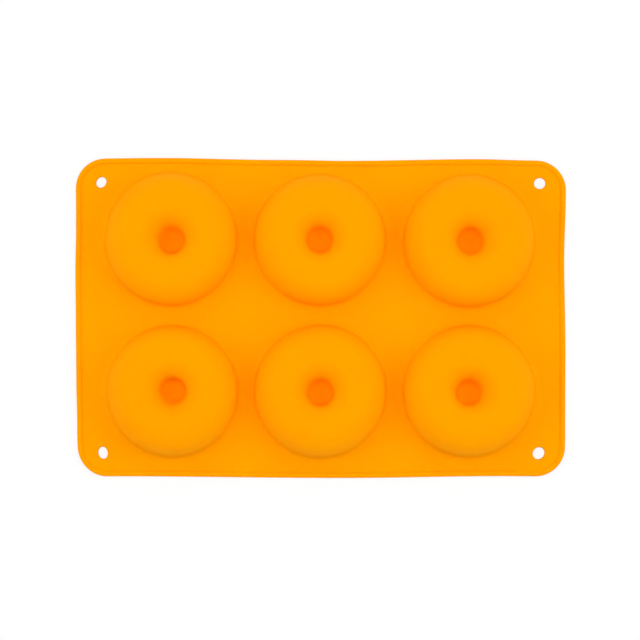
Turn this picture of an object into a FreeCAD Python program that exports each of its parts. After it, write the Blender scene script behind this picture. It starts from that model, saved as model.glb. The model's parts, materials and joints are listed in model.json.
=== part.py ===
# A six-cup doughnut mould: one thin sheet of moulded silicone rubber, in millimetres.
# It lies face down, as it is stored: the cups hump upwards and their mouths are on the table.
# The origin is the middle of the tray's outline, on the flat face that the mouths open in.
import math
import os

import FreeCAD
import Part
from FreeCAD import Vector

# Sheet and the tray's corners
SHEET = 1.5
CORNER_RADIUS = 16.0

# Bead along the edge, flush with the deck below and proud of it above
BEAD_WIDTH = 2.8
BEAD_HEIGHT = 2.5
BEAD_TOP_ROUND = 1.1
BEAD_UNDER_ROUND = 0.5

# Deck between the mouths of the cups, and from them to the edges
COLUMNS = 3
ROWS = 2
COLUMN_GAP = 11.3
ROW_GAP = 12.4
END_MARGIN = 17.4
UPPER_MARGIN = 9.2
LOWER_MARGIN = 12.0

# Holes at the corners, to hang the mould by, placed from the tray's edges
HOLE_DIAMETER = 6.0
HOLE_INSET_X = 14.0
HOLE_INSET_Y = 12.75

# Inside of a cup, which is the doughnut's own form round a tapered core
CUP_DEPTH = 16.5
MOUTH_DIAMETER = 69.2
WALL_DRAFT = 5.0
CROWN_DIAMETER = 39.0
CROWN_WIDTH = 4.2
CORE_TIP_DIAMETER = 15.4
CORE_TIP_RECESS = 2.0
CORE_DRAFT = 7.0

# Fillet on the back, where a cup rises from the deck, and the least straight wall above it
BASE_FILLET = 3.5
LEAST_WALL = 0.3

# Fillet on the back round the floor of the dimple, and as much more as the sheet on the core's tip
DIMPLE_FILLET = 3.0

# Pitches and the tray that follow from those sizes
PITCH_X = MOUTH_DIAMETER + COLUMN_GAP
PITCH_Y = MOUTH_DIAMETER + ROW_GAP
TRAY_LENGTH = (COLUMNS - 1) * PITCH_X + MOUTH_DIAMETER + 2 * END_MARGIN
TRAY_WIDTH = (ROWS - 1) * PITCH_Y + MOUTH_DIAMETER + LOWER_MARGIN + UPPER_MARGIN


def rounded_path(corners):
    """Lines from corner to corner, each (across, up, radius), with an arc where the radius isn't 0."""
    points = [Vector(across, 0, up) for across, up, _ in corners]
    edges = []
    start = points[0]
    for before, corner, after, (_, _, radius) in zip(points, points[1:], points[2:], corners[1:]):
        back = (before - corner).normalize()
        on = (after - corner).normalize()
        half_turn = (math.pi - back.getAngle(on)) / 2
        reach = radius * math.tan(half_turn)
        edges.append(Part.makeLine(start, corner + back * reach))
        start = corner + on * reach
        if radius:
            top = corner + (back + on).normalize() * (radius / math.cos(half_turn) - radius)
            edges.append(Part.Arc(corner + back * reach, top, start).toShape())
    edges.append(Part.makeLine(start, points[-1]))
    return Part.Wire(edges)


def tray_outline(inset):
    """The tray's rounded rectangle, drawn in by that much, from the middle of its -Y side."""
    half_x = TRAY_LENGTH / 2 - inset
    half_y = TRAY_WIDTH / 2 - inset
    radius = CORNER_RADIUS - inset
    middle = (0, -half_y, 0)
    right = [(half_x, -half_y, radius), (half_x, half_y, radius)]
    left = [(-half_x, half_y, radius), (-half_x, -half_y, radius)]
    outline = rounded_path([middle] + right + left + [middle])
    outline.rotate(Vector(0, 0, 0), Vector(1, 0, 0), -90)
    return outline


def bead():
    """The thick rounded edge: one section swept round the outline."""
    inner_foot = (BEAD_WIDTH, 0, 0)
    outer_foot = (0, 0, BEAD_UNDER_ROUND)
    outer_top = (0, BEAD_HEIGHT, BEAD_TOP_ROUND)
    inner_top = (BEAD_WIDTH, BEAD_HEIGHT, BEAD_TOP_ROUND)
    section = rounded_path([inner_foot, outer_foot, outer_top, inner_top, inner_foot])
    section.rotate(Vector(0, 0, 0), Vector(0, 0, 1), 90)
    section.translate(Vector(0, -TRAY_WIDTH / 2, 0))
    return tray_outline(0).makePipeShell([section], True, False)


def deck():
    """The flat sheet within the bead."""
    return Part.Face(tray_outline(BEAD_WIDTH)).extrude(Vector(0, 0, SHEET))


def wall_radius(up, skin):
    """Radius of the drafted outer wall at that height, on a skin that much behind the inside."""
    draft = math.radians(WALL_DRAFT)
    return MOUTH_DIAMETER / 2 - up * math.tan(draft) + skin / math.cos(draft)


def core_radius(up, skin):
    """Radius of the drafted core at that height; its back, the dimple, is within the inside."""
    draft = math.radians(CORE_DRAFT)
    return CORE_TIP_DIAMETER / 2 + (up - CORE_TIP_RECESS) * math.tan(draft) - skin / math.cos(draft)


def outer_shoulder(skin):
    """Radius from the outer wall into the flat crown; a shallow cup has a smaller one and more crown."""
    draft = math.radians(WALL_DRAFT)
    bend = math.tan((math.pi / 2 - draft) / 2)
    crown_edge = (CROWN_DIAMETER + CROWN_WIDTH) / 2
    to_crown = (wall_radius(CUP_DEPTH, 0) - crown_edge) / bend
    above_fillet = (CUP_DEPTH / math.cos(draft) - LEAST_WALL) / bend - BASE_FILLET - SHEET
    return min(to_crown, above_fillet) + skin


def inner_shoulder(skin):
    """Radius from the flat crown down into the core."""
    bend = math.tan(math.radians(90 - CORE_DRAFT) / 2)
    crown_edge = (CROWN_DIAMETER - CROWN_WIDTH) / 2
    return (crown_edge - core_radius(CUP_DEPTH, 0)) / bend + skin


def cup_skin(skin, base_round):
    """Corners of one side of a cup's section, from the deck over the crown to the axis."""
    crown = CUP_DEPTH + skin
    tip = CORE_TIP_RECESS + skin
    return [
        (wall_radius(skin, skin), skin, base_round),
        (wall_radius(crown, skin), crown, outer_shoulder(skin)),
        (core_radius(crown, skin), crown, inner_shoulder(skin)),
        (core_radius(tip, skin), tip, DIMPLE_FILLET + SHEET - skin),
        (0, tip, 0),
    ]


def turned(corners):
    """The closed section turned about the Z axis."""
    return Part.Face(rounded_path(corners)).revolve(Vector(0, 0, 0), Vector(0, 0, 1), 360)


def hump():
    """What a cup adds to the deck, filled to its back skin, with a collar for the base fillet."""
    collar = wall_radius(SHEET, SHEET) + BASE_FILLET
    foot = [(0, 0, 0), (collar, 0, 0), (collar, SHEET, 0)]
    return turned(foot + cup_skin(SHEET, BASE_FILLET) + [(0, 0, 0)])


def cavity():
    """What a cup takes away: the doughnut's form and the recess below the core's tip."""
    return turned([(0, 0, 0)] + cup_skin(0, 0) + [(0, 0, 0)])


def spread(piece, count_x, count_y, pitch_x, pitch_y, middle_y):
    """Copies of the piece on a grid, whose middle is that far along Y."""
    copies = []
    for column in range(count_x):
        for row in range(count_y):
            copy = piece.copy()
            across = (column - (count_x - 1) / 2) * pitch_x
            along = (row - (count_y - 1) / 2) * pitch_y + middle_y
            copy.translate(Vector(across, along, 0))
            copies.append(copy)
    return copies


def at_cups(piece):
    """Copies at the cups, whose rows sit nearer to the +Y edge by half the margins' difference."""
    return spread(piece, COLUMNS, ROWS, PITCH_X, PITCH_Y, (LOWER_MARGIN - UPPER_MARGIN) / 2)


def corner_holes():
    """Plugs that cut the holes, one in each corner."""
    plug = Part.makeCylinder(HOLE_DIAMETER / 2, SHEET)
    apart_x = TRAY_LENGTH - 2 * HOLE_INSET_X
    apart_y = TRAY_WIDTH - 2 * HOLE_INSET_Y
    return spread(plug, 2, 2, apart_x, apart_y, 0)


def mould():
    """The deck with its bead and humps in one sheet, then hollowed and holed."""
    filled = deck().fuse([bead()] + at_cups(hump()))
    return filled.cut(at_cups(cavity()) + corner_holes()).removeSplitter()


os.makedirs("parts", exist_ok=True)
mould().exportStep("parts/doughnut_mould.step")
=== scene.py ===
import json
import math
import bmesh
import bpy
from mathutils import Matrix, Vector, geometry, noise


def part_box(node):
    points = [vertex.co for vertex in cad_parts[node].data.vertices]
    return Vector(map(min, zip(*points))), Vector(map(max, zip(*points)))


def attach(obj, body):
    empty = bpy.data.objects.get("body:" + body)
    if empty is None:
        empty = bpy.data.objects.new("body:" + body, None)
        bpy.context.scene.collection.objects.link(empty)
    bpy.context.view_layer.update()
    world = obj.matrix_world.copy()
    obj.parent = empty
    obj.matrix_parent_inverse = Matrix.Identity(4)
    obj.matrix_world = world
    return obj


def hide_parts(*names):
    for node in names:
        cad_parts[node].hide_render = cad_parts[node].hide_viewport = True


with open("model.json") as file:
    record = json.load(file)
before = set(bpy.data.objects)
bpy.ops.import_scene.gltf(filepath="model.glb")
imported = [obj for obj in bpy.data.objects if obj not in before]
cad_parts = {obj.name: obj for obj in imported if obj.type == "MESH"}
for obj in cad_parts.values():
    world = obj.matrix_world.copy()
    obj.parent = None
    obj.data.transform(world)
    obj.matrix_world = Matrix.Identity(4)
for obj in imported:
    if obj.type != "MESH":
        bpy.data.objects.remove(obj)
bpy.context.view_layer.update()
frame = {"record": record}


# The cups. Six doughnut forms, pressed in one shot with the tray from orange silicone rubber.
# Each is a thin skin that is turned about its own axis, out of the deck over the crown and down
# into the hollow core, with the back skin outside and the glossy baking skin inside it.
mm = 0.001
sheet = 1.5
depth = 16.5
mouth = 34.8
base_fillet = 4.2
wall_draft = math.radians(8)
core_draft = math.radians(12)
crown_in, crown_out = 18.0, 22.2
core_tip, core_recess = 6.9, 0.6
dimple_fillet = 4.8
mouth_round = 0.8
foot_reach = 0.92
arc_step = math.radians(6.5)
around = 84

shell = bmesh.new()
cavity_side = shell.verts.layers.float.new("cavity_side")


def rounded(corners, longest=2.5):
    """Points of the line through corners (across, up, radius), with arcs at the corners."""
    at = [Vector((across, up)) for across, up, _ in corners]
    points = [at[0]]
    for before, corner, after, (_, _, radius) in zip(at, at[1:], at[2:], corners[1:]):
        back, on = (before - corner).normalized(), (after - corner).normalized()
        half_turn = (math.pi - back.angle(on)) / 2
        centre = corner + (back + on).normalized() * radius / math.cos(half_turn)
        start = corner + back * radius * math.tan(half_turn) - centre
        side = 1 if start.x * on.y - start.y * on.x > 0 else -1
        steps = max(2, math.ceil(2 * half_turn / arc_step))
        for i in range(steps + 1):
            turn = side * 2 * half_turn * i / steps
            cos, sin = math.cos(turn), math.sin(turn)
            spoke = Vector((start.x * cos - start.y * sin, start.x * sin + start.y * cos))
            points.append(centre + spoke)
    points.append(at[-1])
    dense = [points[0]]
    for a, b in zip(points, points[1:]):
        steps = max(1, math.ceil((b - a).length / longest))
        dense += [a.lerp(b, i / steps) for i in range(1, steps + 1)]
    return dense


def cup_line(skin, base_round, tip_round):
    """Half section of one skin, from its foot on the deck to the middle of the core's tip."""
    def wall(up):
        return mouth - up * math.tan(wall_draft) + skin / math.cos(wall_draft)

    def core(up):
        return core_tip + (up - core_recess) * math.tan(core_draft) - skin / math.cos(core_draft)

    crown, tip = depth + skin, core_recess + skin
    outer = (wall(crown) - crown_out) / math.tan(math.radians(45) - wall_draft / 2)
    inner = (crown_in - core(crown)) / math.tan(math.radians(45) - core_draft / 2)
    foot = wall(skin) + foot_reach * base_round
    return rounded([
        (foot, skin, 0),
        (wall(skin), skin, base_round),
        (wall(crown), crown, outer),
        (core(crown), crown, inner),
        (core(tip), tip, tip_round),
        (0, tip, 0),
    ])


def turn(line, centre, count, inside):
    """Adds the line (radius, up) turned about an upright axis."""
    rings = []
    for radius, up in line:
        spokes = count if radius > 1e-6 else 1
        ring = []
        for i in range(spokes):
            angle = 2 * math.pi * i / count
            place = (centre[0] + radius * math.cos(angle), centre[1] + radius * math.sin(angle), up)
            vert = shell.verts.new(place)
            vert[cavity_side] = inside
            ring.append(vert)
        rings.append(ring)
    for one, two in zip(rings, rings[1:]):
        for i in range(count):
            j = (i + 1) % count
            corners = [one[i], one[j], two[j % len(two)], two[i % len(two)]]
            shell.faces.new(list(dict.fromkeys(corners)))


pitch_x, pitch_y = 80.5, 81.6
row_shift = 1.4
cup_places = [(pitch_x * i, pitch_y * j + row_shift) for i in (-1, 0, 1) for j in (-0.5, 0.5)]
back_line = cup_line(sheet, base_fillet, dimple_fillet)
baking_line = cup_line(0, mouth_round, dimple_fillet + sheet)
for place in cup_places:
    turn(back_line, place, around, 0)
    turn(baking_line, place, around, 1)


# The holes. Four plain round holes at the tray's corners, to hang it by, moulded through the deck.
# Their edges are slightly rounded, as a soft moulding's are.
holes = next(m for m in frame["record"]["mounts"] if m["name"] == "corner_holes")["dims"]
hole_radius = holes["hole_r_mm"]
hole_round = 0.25
hole_x, hole_y = holes["spacing_x_mm"] / 2, holes["spacing_y_mm"] / 2
hole_places = [(sx * hole_x, sy * hole_y) for sx in (-1, 1) for sy in (-1, 1)]
hole_count = 36
hole_line = rounded([
    (hole_radius + 2 * hole_round, sheet, 0),
    (hole_radius, sheet, hole_round),
    (hole_radius, 0, hole_round),
    (hole_radius + 2 * hole_round, 0, 0),
])
for place in hole_places:
    turn(hole_line, place, hole_count, 0)


# The bead. The tray's thick edge, a rounded rope of the same silicone that stiffens the thin deck.
# It is flush with the deck below and stands proud of it above.
low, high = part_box("doughnut_mould")
half_x, half_y = (high[0] - low[0]) / 2 / mm, (high[1] - low[1]) / 2 / mm
corner = 16.0
bead_width = 2.8
bead_height = 2.5
top_round, under_round = 1.1, 0.5
flank_out, flank_in = 0.4, 0.5
crease = 0.5
edge_step = 3.0
corner_bends = 14


def edge_walk():
    """(point, outward) along the tray's outline, closed, in even steps."""
    walk = []
    for quarter, (sx, sy) in enumerate(((1, -1), (1, 1), (-1, 1), (-1, -1))):
        centre = Vector((sx * (half_x - corner), sy * (half_y - corner)))
        first = math.pi / 2 * (quarter - 1)
        for i in range(corner_bends + 1):
            angle = first + math.pi / 2 * i / corner_bends
            out = Vector((math.cos(angle), math.sin(angle)))
            walk.append((centre + corner * out, out))
        run = 2 * (half_y if quarter % 2 == 0 else half_x) - 2 * corner
        steps = round(run / edge_step)
        ahead = Vector((-out.y, out.x))
        walk += [(walk[-1][0] + ahead * run * i / steps, out) for i in range(1, steps)]
    return walk


bead_line = rounded([
    (bead_width + 2 * crease, sheet, 0),
    (bead_width + flank_out, sheet, crease),
    (bead_width - flank_in, bead_height, top_round),
    (0, bead_height, top_round),
    (0, 0, under_round),
    (bead_width, 0, 0),
], 1.0)
walk = edge_walk()
rows = []
for inset, up in bead_line:
    row = []
    for point, out in walk:
        place = point - out * inset
        vert = shell.verts.new((place.x, place.y, up))
        vert[cavity_side] = 1 if up < under_round / 5 else 0
        row.append(vert)
    rows.append(row)
for one, two in zip(rows, rows[1:]):
    for i in range(len(walk)):
        j = (i + 1) % len(walk)
        shell.faces.new((one[i], one[j], two[j], two[i]))


# The deck. The thin flat sheet that carries the cups and runs out to the bead, of the same shot of
# silicone. It has a matt back face and a glossy baking face, and the holes go through both.
grid_step = 4.0
chord_sag = 0.03


def ring_points(centre, radius, count):
    """Points round a circle, at the places that turn() gives them."""
    spokes = [2 * math.pi * i / count for i in range(count)]
    return [Vector((centre[0] + radius * math.cos(a), centre[1] + radius * math.sin(a))) for a in spokes]


def add_deck(up, foot, rim, inside):
    """Adds one flat face of the deck: triangles between the rim, the cups' feet and the holes."""
    loops = [[point - out * rim for point, out in walk]]
    round_places = [(place, foot, around) for place in cup_places]
    round_places += [(place, hole_radius + 2 * hole_round, hole_count) for place in hole_places]
    loops += [ring_points(*place) for place in round_places]
    points, edges = [], []
    for loop in loops:
        first = len(points)
        points += loop
        edges += [(first + i, first + (i + 1) % len(loop)) for i in range(len(loop))]

    def clear(p, margin):
        reach_x, reach_y = half_x - rim - margin, half_y - rim - margin
        past = Vector((max(0, abs(p.x) - (half_x - corner)), max(0, abs(p.y) - (half_y - corner))))
        on_tray = abs(p.x) < reach_x and abs(p.y) < reach_y and past.length < corner - rim - margin
        return on_tray and all((p - Vector(c)).length > r + margin for c, r, _ in round_places)

    for i in range(int(-half_x / grid_step), int(half_x / grid_step) + 1):
        for j in range(int(-half_y / grid_step), int(half_y / grid_step) + 1):
            place = Vector((i * grid_step, (j + 0.5 * (i % 2)) * grid_step))
            if clear(place, grid_step / 2):
                points.append(place)
    found, _, triangles, *_ = geometry.delaunay_2d_cdt(points, edges, [], 0, 1e-6)
    verts = []
    for place in found:
        vert = shell.verts.new((place.x, place.y, up))
        vert[cavity_side] = inside
        verts.append(vert)
    for triangle in triangles:
        middle = sum((found[i] for i in triangle), Vector((0, 0))) / 3
        if clear(middle, -chord_sag):
            shell.faces.new([verts[i] for i in triangle])


add_deck(sheet, back_line[0].x, bead_width + 2 * crease, 0)
add_deck(0, baking_line[0].x, bead_width, 1)
bmesh.ops.remove_doubles(shell, verts=shell.verts, dist=0.002)
bmesh.ops.delete(shell, geom=[v for v in shell.verts if not v.link_faces], context="VERTS")
bmesh.ops.recalc_face_normals(shell, faces=shell.faces)


# How it lies. The sheet is soft, so its edges wander from straight, its rim lifts a little off
# the table between the cups, and the cups and holes aren't quite true.
# Each edge has (place along it, outward push), in millimetres.
upper_edge = [(-132, 0.5), (-87, 0.9), (-23, -0.15), (14, -0.65), (84, 0.25), (118, -0.5), (132, -0.6)]
lower_edge = [(-132, -0.3), (-106, -0.4), (11, 0.5), (98, -0.5), (132, -0.3)]
left_edge = [(-86, -1.3), (-58, -0.6), (-34, -0.15), (0, 0.15), (26, 0.35), (48, 0.0), (86, 0.15)]
right_edge = [(-86, -0.2), (-60, 0.1), (-17, 0.25), (31, -0.45), (69, 0.45), (86, 0.4)]
bow_reach = 60
rim_lift, rim_reach, ripple_length = 0.7, 16, 45
cup_wander, wander_length, wander_height = 0.22, 38, 30
full_height = 8
# The back of the deck also rises a little toward each cup, further out than the cup's fillet.
skirt_rise, skirt_near, skirt_far = 1.2, 2.0, 12.0
# Each cup's own shift, and how far the tip of its core leans, in the order of the cups' places.
shift_near, shift_far = mouth + 1, mouth + 9
cup_moves = [
    ((0.25, -0.2), (1.3, 0.8)),
    ((-0.3, 0.35), (1.3, -1.5)),
    ((-0.15, 0.0), (0.25, -0.9)),
    ((-0.4, 0.35), (0.0, -0.4)),
    ((-0.3, -0.2), (-0.7, -0.8)),
    ((0.0, -0.45), (0.2, 0.0)),
]
# Each hole's narrow and wide stretch, the way its wide side points in degrees, and its shift.
stretch_near, stretch_far = hole_radius + 0.6, hole_radius * 2.4
hole_forms = [
    (0.85, 1.09, 98, (-0.27, 0.06)),
    (0.84, 1.0, 53, (-0.25, -0.05)),
    (1.01, 1.12, 53, (-0.25, -0.2)),
    (0.99, 1.01, 0, (-0.07, 0.28)),
]


def push(edge, along):
    """Smooth push between an edge's stated places."""
    for (a, one), (b, two) in zip(edge, edge[1:]):
        if along <= b:
            t = min(1, max(0, (along - a) / (b - a)))
            return one + (two - one) * t * t * (3 - 2 * t)
    return edge[-1][1]


def fade(distance, near, far):
    """1 up to the near distance, falling smoothly to 0 at the far one."""
    t = min(1, max(0, (far - distance) / (far - near)))
    return t * t * (3 - 2 * t)


noise.seed_set(7)
for vert in shell.verts:
    x, y, z = vert.co
    up_side, low_side = fade(half_y - y, 0, bow_reach), fade(half_y + y, 0, bow_reach)
    right_side, left_side = fade(half_x - x, 0, bow_reach), fade(half_x + x, 0, bow_reach)
    dx = push(right_edge, y) * right_side - push(left_edge, y) * left_side
    dy = push(upper_edge, x) * up_side - push(lower_edge, x) * low_side
    to_cup = min(math.hypot(x - cx, y - cy) for cx, cy in cup_places) - mouth
    free = min(1, max(0, to_cup / rim_reach))
    ripple = 0.5 + 0.5 * noise.noise(Vector((x / ripple_length, y / ripple_length, 3.7)))
    dz = rim_lift * free * free * (3 - 2 * free) * ripple
    place = Vector((x / wander_length, y / wander_length, z / wander_height + 9.1))
    wander = noise.noise_vector(place) * cup_wander
    rise = min(1, max(0, (z - sheet) / full_height))
    if vert[cavity_side] < 0.5 and to_cup > -dimple_fillet:
        dz += skirt_rise * fade(to_cup, skirt_near, skirt_far) * (1 - rise)
    moved = Vector((x + dx, y + dy, z + dz)) + wander * rise
    for centre, (shift, lean) in zip(cup_places, cup_moves):
        radius = math.hypot(x - centre[0], y - centre[1])
        moved += Vector((*shift, 0)) * fade(radius, shift_near, shift_far)
        if radius < crown_in:
            moved += Vector((*lean, 0)) * fade(z - core_recess, 0, depth)
    for centre, (narrow, wide, turn_by, shift) in zip(hole_places, hole_forms):
        arm = Vector((x - centre[0], y - centre[1]))
        angle = math.radians(turn_by)
        long = Vector((math.cos(angle), math.sin(angle)))
        short = long.orthogonal()
        stretch = long * arm.dot(long) * (wide - 1) + short * arm.dot(short) * (narrow - 1)
        moved += (stretch + Vector(shift)).to_3d() * fade(arm.length, stretch_near, stretch_far)
    vert.co = moved * mm

mesh = bpy.data.meshes.new("mould_shell")
shell.to_mesh(mesh)
shell.free()
mesh.polygons.foreach_set("use_smooth", [True] * len(mesh.polygons))
mould_shell = bpy.data.objects.new("mould_shell", mesh)
bpy.context.scene.collection.objects.link(mould_shell)
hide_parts("doughnut_mould")
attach(mould_shell, "root")


# The silicone. Opaque orange rubber, pigmented right through, with a fine matt finish from the
# blasted tool on the back and a polished finish where the batter goes.
class Part:
    """A socket in a node tree, with arithmetic."""

    def __init__(self, tree, socket):
        self.tree, self.socket = tree, socket

    def node(self, kind, settings, out=0, **values):
        """Adds a node: its settings first, then its sockets' values or links."""
        node = self.tree.nodes.new(kind)
        for name, value in settings.items():
            setattr(node, name, value)
        for name, value in values.items():
            numbered = name[0] == "i" and name[1:].isdigit()
            into = node.inputs[int(name[1:]) if numbered else name.replace("_", " ")]
            if isinstance(value, Part):
                self.tree.links.new(value.socket, into)
            else:
                into.default_value = value
        return Part(self.tree, node.outputs[out])

    def maths(self, operation, one, two):
        return self.node("ShaderNodeMath", {"operation": operation}, i0=one, i1=two)

    def __add__(self, other):
        return self.maths("ADD", self, other)

    __radd__ = __add__

    def __mul__(self, other):
        return self.maths("MULTIPLY", self, other)

    __rmul__ = __mul__

    def __rsub__(self, other):
        return self.maths("SUBTRACT", other, self)


silicone = bpy.data.materials.new("orange_silicone")
silicone.use_nodes = True
tree = silicone.node_tree
bsdf = tree.nodes["Principled BSDF"]
start = Part(tree, None)
place = start.node("ShaderNodeTexCoord", {}, 3)
baking = start.node("ShaderNodeAttribute", {"attribute_name": "cavity_side"}, 2)
clouds = start.node("ShaderNodeTexNoise", {}, 0, Vector=place, Scale=28.0, Detail=3.0, Roughness=0.5)
blast = start.node("ShaderNodeTexNoise", {}, 0, Vector=place, Scale=2600.0, Detail=2.0, Roughness=0.6)
flow = start.node("ShaderNodeTexNoise", {}, 0, Vector=place, Scale=190.0, Detail=2.0, Roughness=0.5)
colour = start.node(
    "ShaderNodeMix", {"data_type": "RGBA"}, 2,
    i0=clouds, i6=(1.0, 0.322, 0.0, 1), i7=(1.0, 0.35, 0.0, 1),
)
tree.links.new(colour.socket, bsdf.inputs["Base Color"])
rough = 0.5 + 0.14 * clouds
tree.links.new(rough.socket, bsdf.inputs["Roughness"])
relief = blast * (1 - baking * 0.85) * 0.5 + flow * 0.5
bump = start.node("ShaderNodeBump", {}, 0, Strength=0.35, Distance=0.00003, Height=relief)
tree.links.new(bump.socket, bsdf.inputs["Normal"])
tree.links.new((baking * 0.35).socket, bsdf.inputs["Coat Weight"])
bsdf.inputs["Coat Roughness"].default_value = 0.2
bsdf.inputs["Specular IOR Level"].default_value = 0.05
bsdf.inputs["Specular Tint"].default_value = (1.0, 0.45, 0.0, 1)
bsdf.inputs["Subsurface Weight"].default_value = 0.25
bsdf.inputs["Subsurface Radius"].default_value = (1.0, 0.35, 0.02)
bsdf.inputs["Subsurface Scale"].default_value = 0.0015
mesh.materials.append(silicone)


# The studio. A white table top in a white room, with soft lamps at both sides, behind, in front and
# above, and a camera straight over the tray. The white is the table's and the room's own colour.
floor_mesh = bpy.data.meshes.new("floor")
floor_half = 4.0
shadow_share = 0.2
floor_corners = [(floor_half * x, floor_half * y, 0) for x, y in ((-1, -1), (1, -1), (1, 1), (-1, 1))]
floor_mesh.from_pydata(floor_corners, [], [(0, 1, 2, 3)])
floor = bpy.data.objects.new("floor", floor_mesh)
floor.location.z = -0.0001
bpy.context.scene.collection.objects.link(floor)
white = bpy.data.materials.new("white_floor")
white.use_nodes = True
tree = white.node_tree
start = Part(tree, None)
seen = start.node("ShaderNodeLightPath", {}, 0)
glossy = start.node("ShaderNodeLightPath", {}, 3)
through = start.node("ShaderNodeLightPath", {}, 6)
plain = start.node("ShaderNodeBsdfDiffuse", {}, 0, Color=(0.9, 0.9, 0.9, 1))
bright = start.node("ShaderNodeEmission", {}, 0, Color=(1, 1, 1, 1), Strength=1.0)
white_share = (seen + glossy + through) * (1 - shadow_share)
mixed = start.node("ShaderNodeMixShader", {}, 0, i0=white_share, i1=plain, i2=bright)
tree.links.new(mixed.socket, tree.nodes["Material Output"].inputs["Surface"])
floor_mesh.materials.append(white)

world = bpy.data.worlds.new("studio")
bpy.context.scene.world = world
world.use_nodes = True
tree = world.node_tree
start = Part(tree, None)
seen = start.node("ShaderNodeLightPath", {}, 0)
glossy = start.node("ShaderNodeLightPath", {}, 3)
through = start.node("ShaderNodeLightPath", {}, 6)
background = tree.nodes["Background"]
fill = 0.45
strength = fill + (seen + glossy + through) * (1 - fill)
tree.links.new(strength.socket, background.inputs["Strength"])
background.inputs["Color"].default_value = (1, 1, 1, 1)


def softbox(name, place, size, watts):
    """A square lamp that faces the middle of the tray."""
    lamp = bpy.data.lights.new(name, "AREA")
    lamp.size = size
    lamp.energy = watts
    box = bpy.data.objects.new(name, lamp)
    box.location = place
    box.rotation_euler = Vector(place).to_track_quat("Z", "Y").to_euler()
    bpy.context.scene.collection.objects.link(box)


softbox("left_softbox", (-1.1, 0.0, 0.75), 0.8, 5.0)
softbox("right_softbox", (1.1, 0.0, 0.75), 0.8, 5.7)
softbox("top_softbox", (0.0, 0.15, 1.35), 0.8, 5.9)
softbox("back_softbox", (0.0, 1.1, 0.75), 0.8, 2.8)
softbox("front_softbox", (0.0, -1.1, 0.75), 0.8, 0.9)

camera_height = 1.4
view_width = 0.3472
camera_data = bpy.data.cameras.new("camera")
camera_data.sensor_width = 36
camera_data.lens = 36 * camera_height / view_width
camera = bpy.data.objects.new("camera", camera_data)
camera.location = (-0.0003, -0.0009, camera_height)
bpy.context.scene.collection.objects.link(camera)
bpy.context.scene.camera = camera
bpy.context.scene.view_settings.view_transform = "Standard"
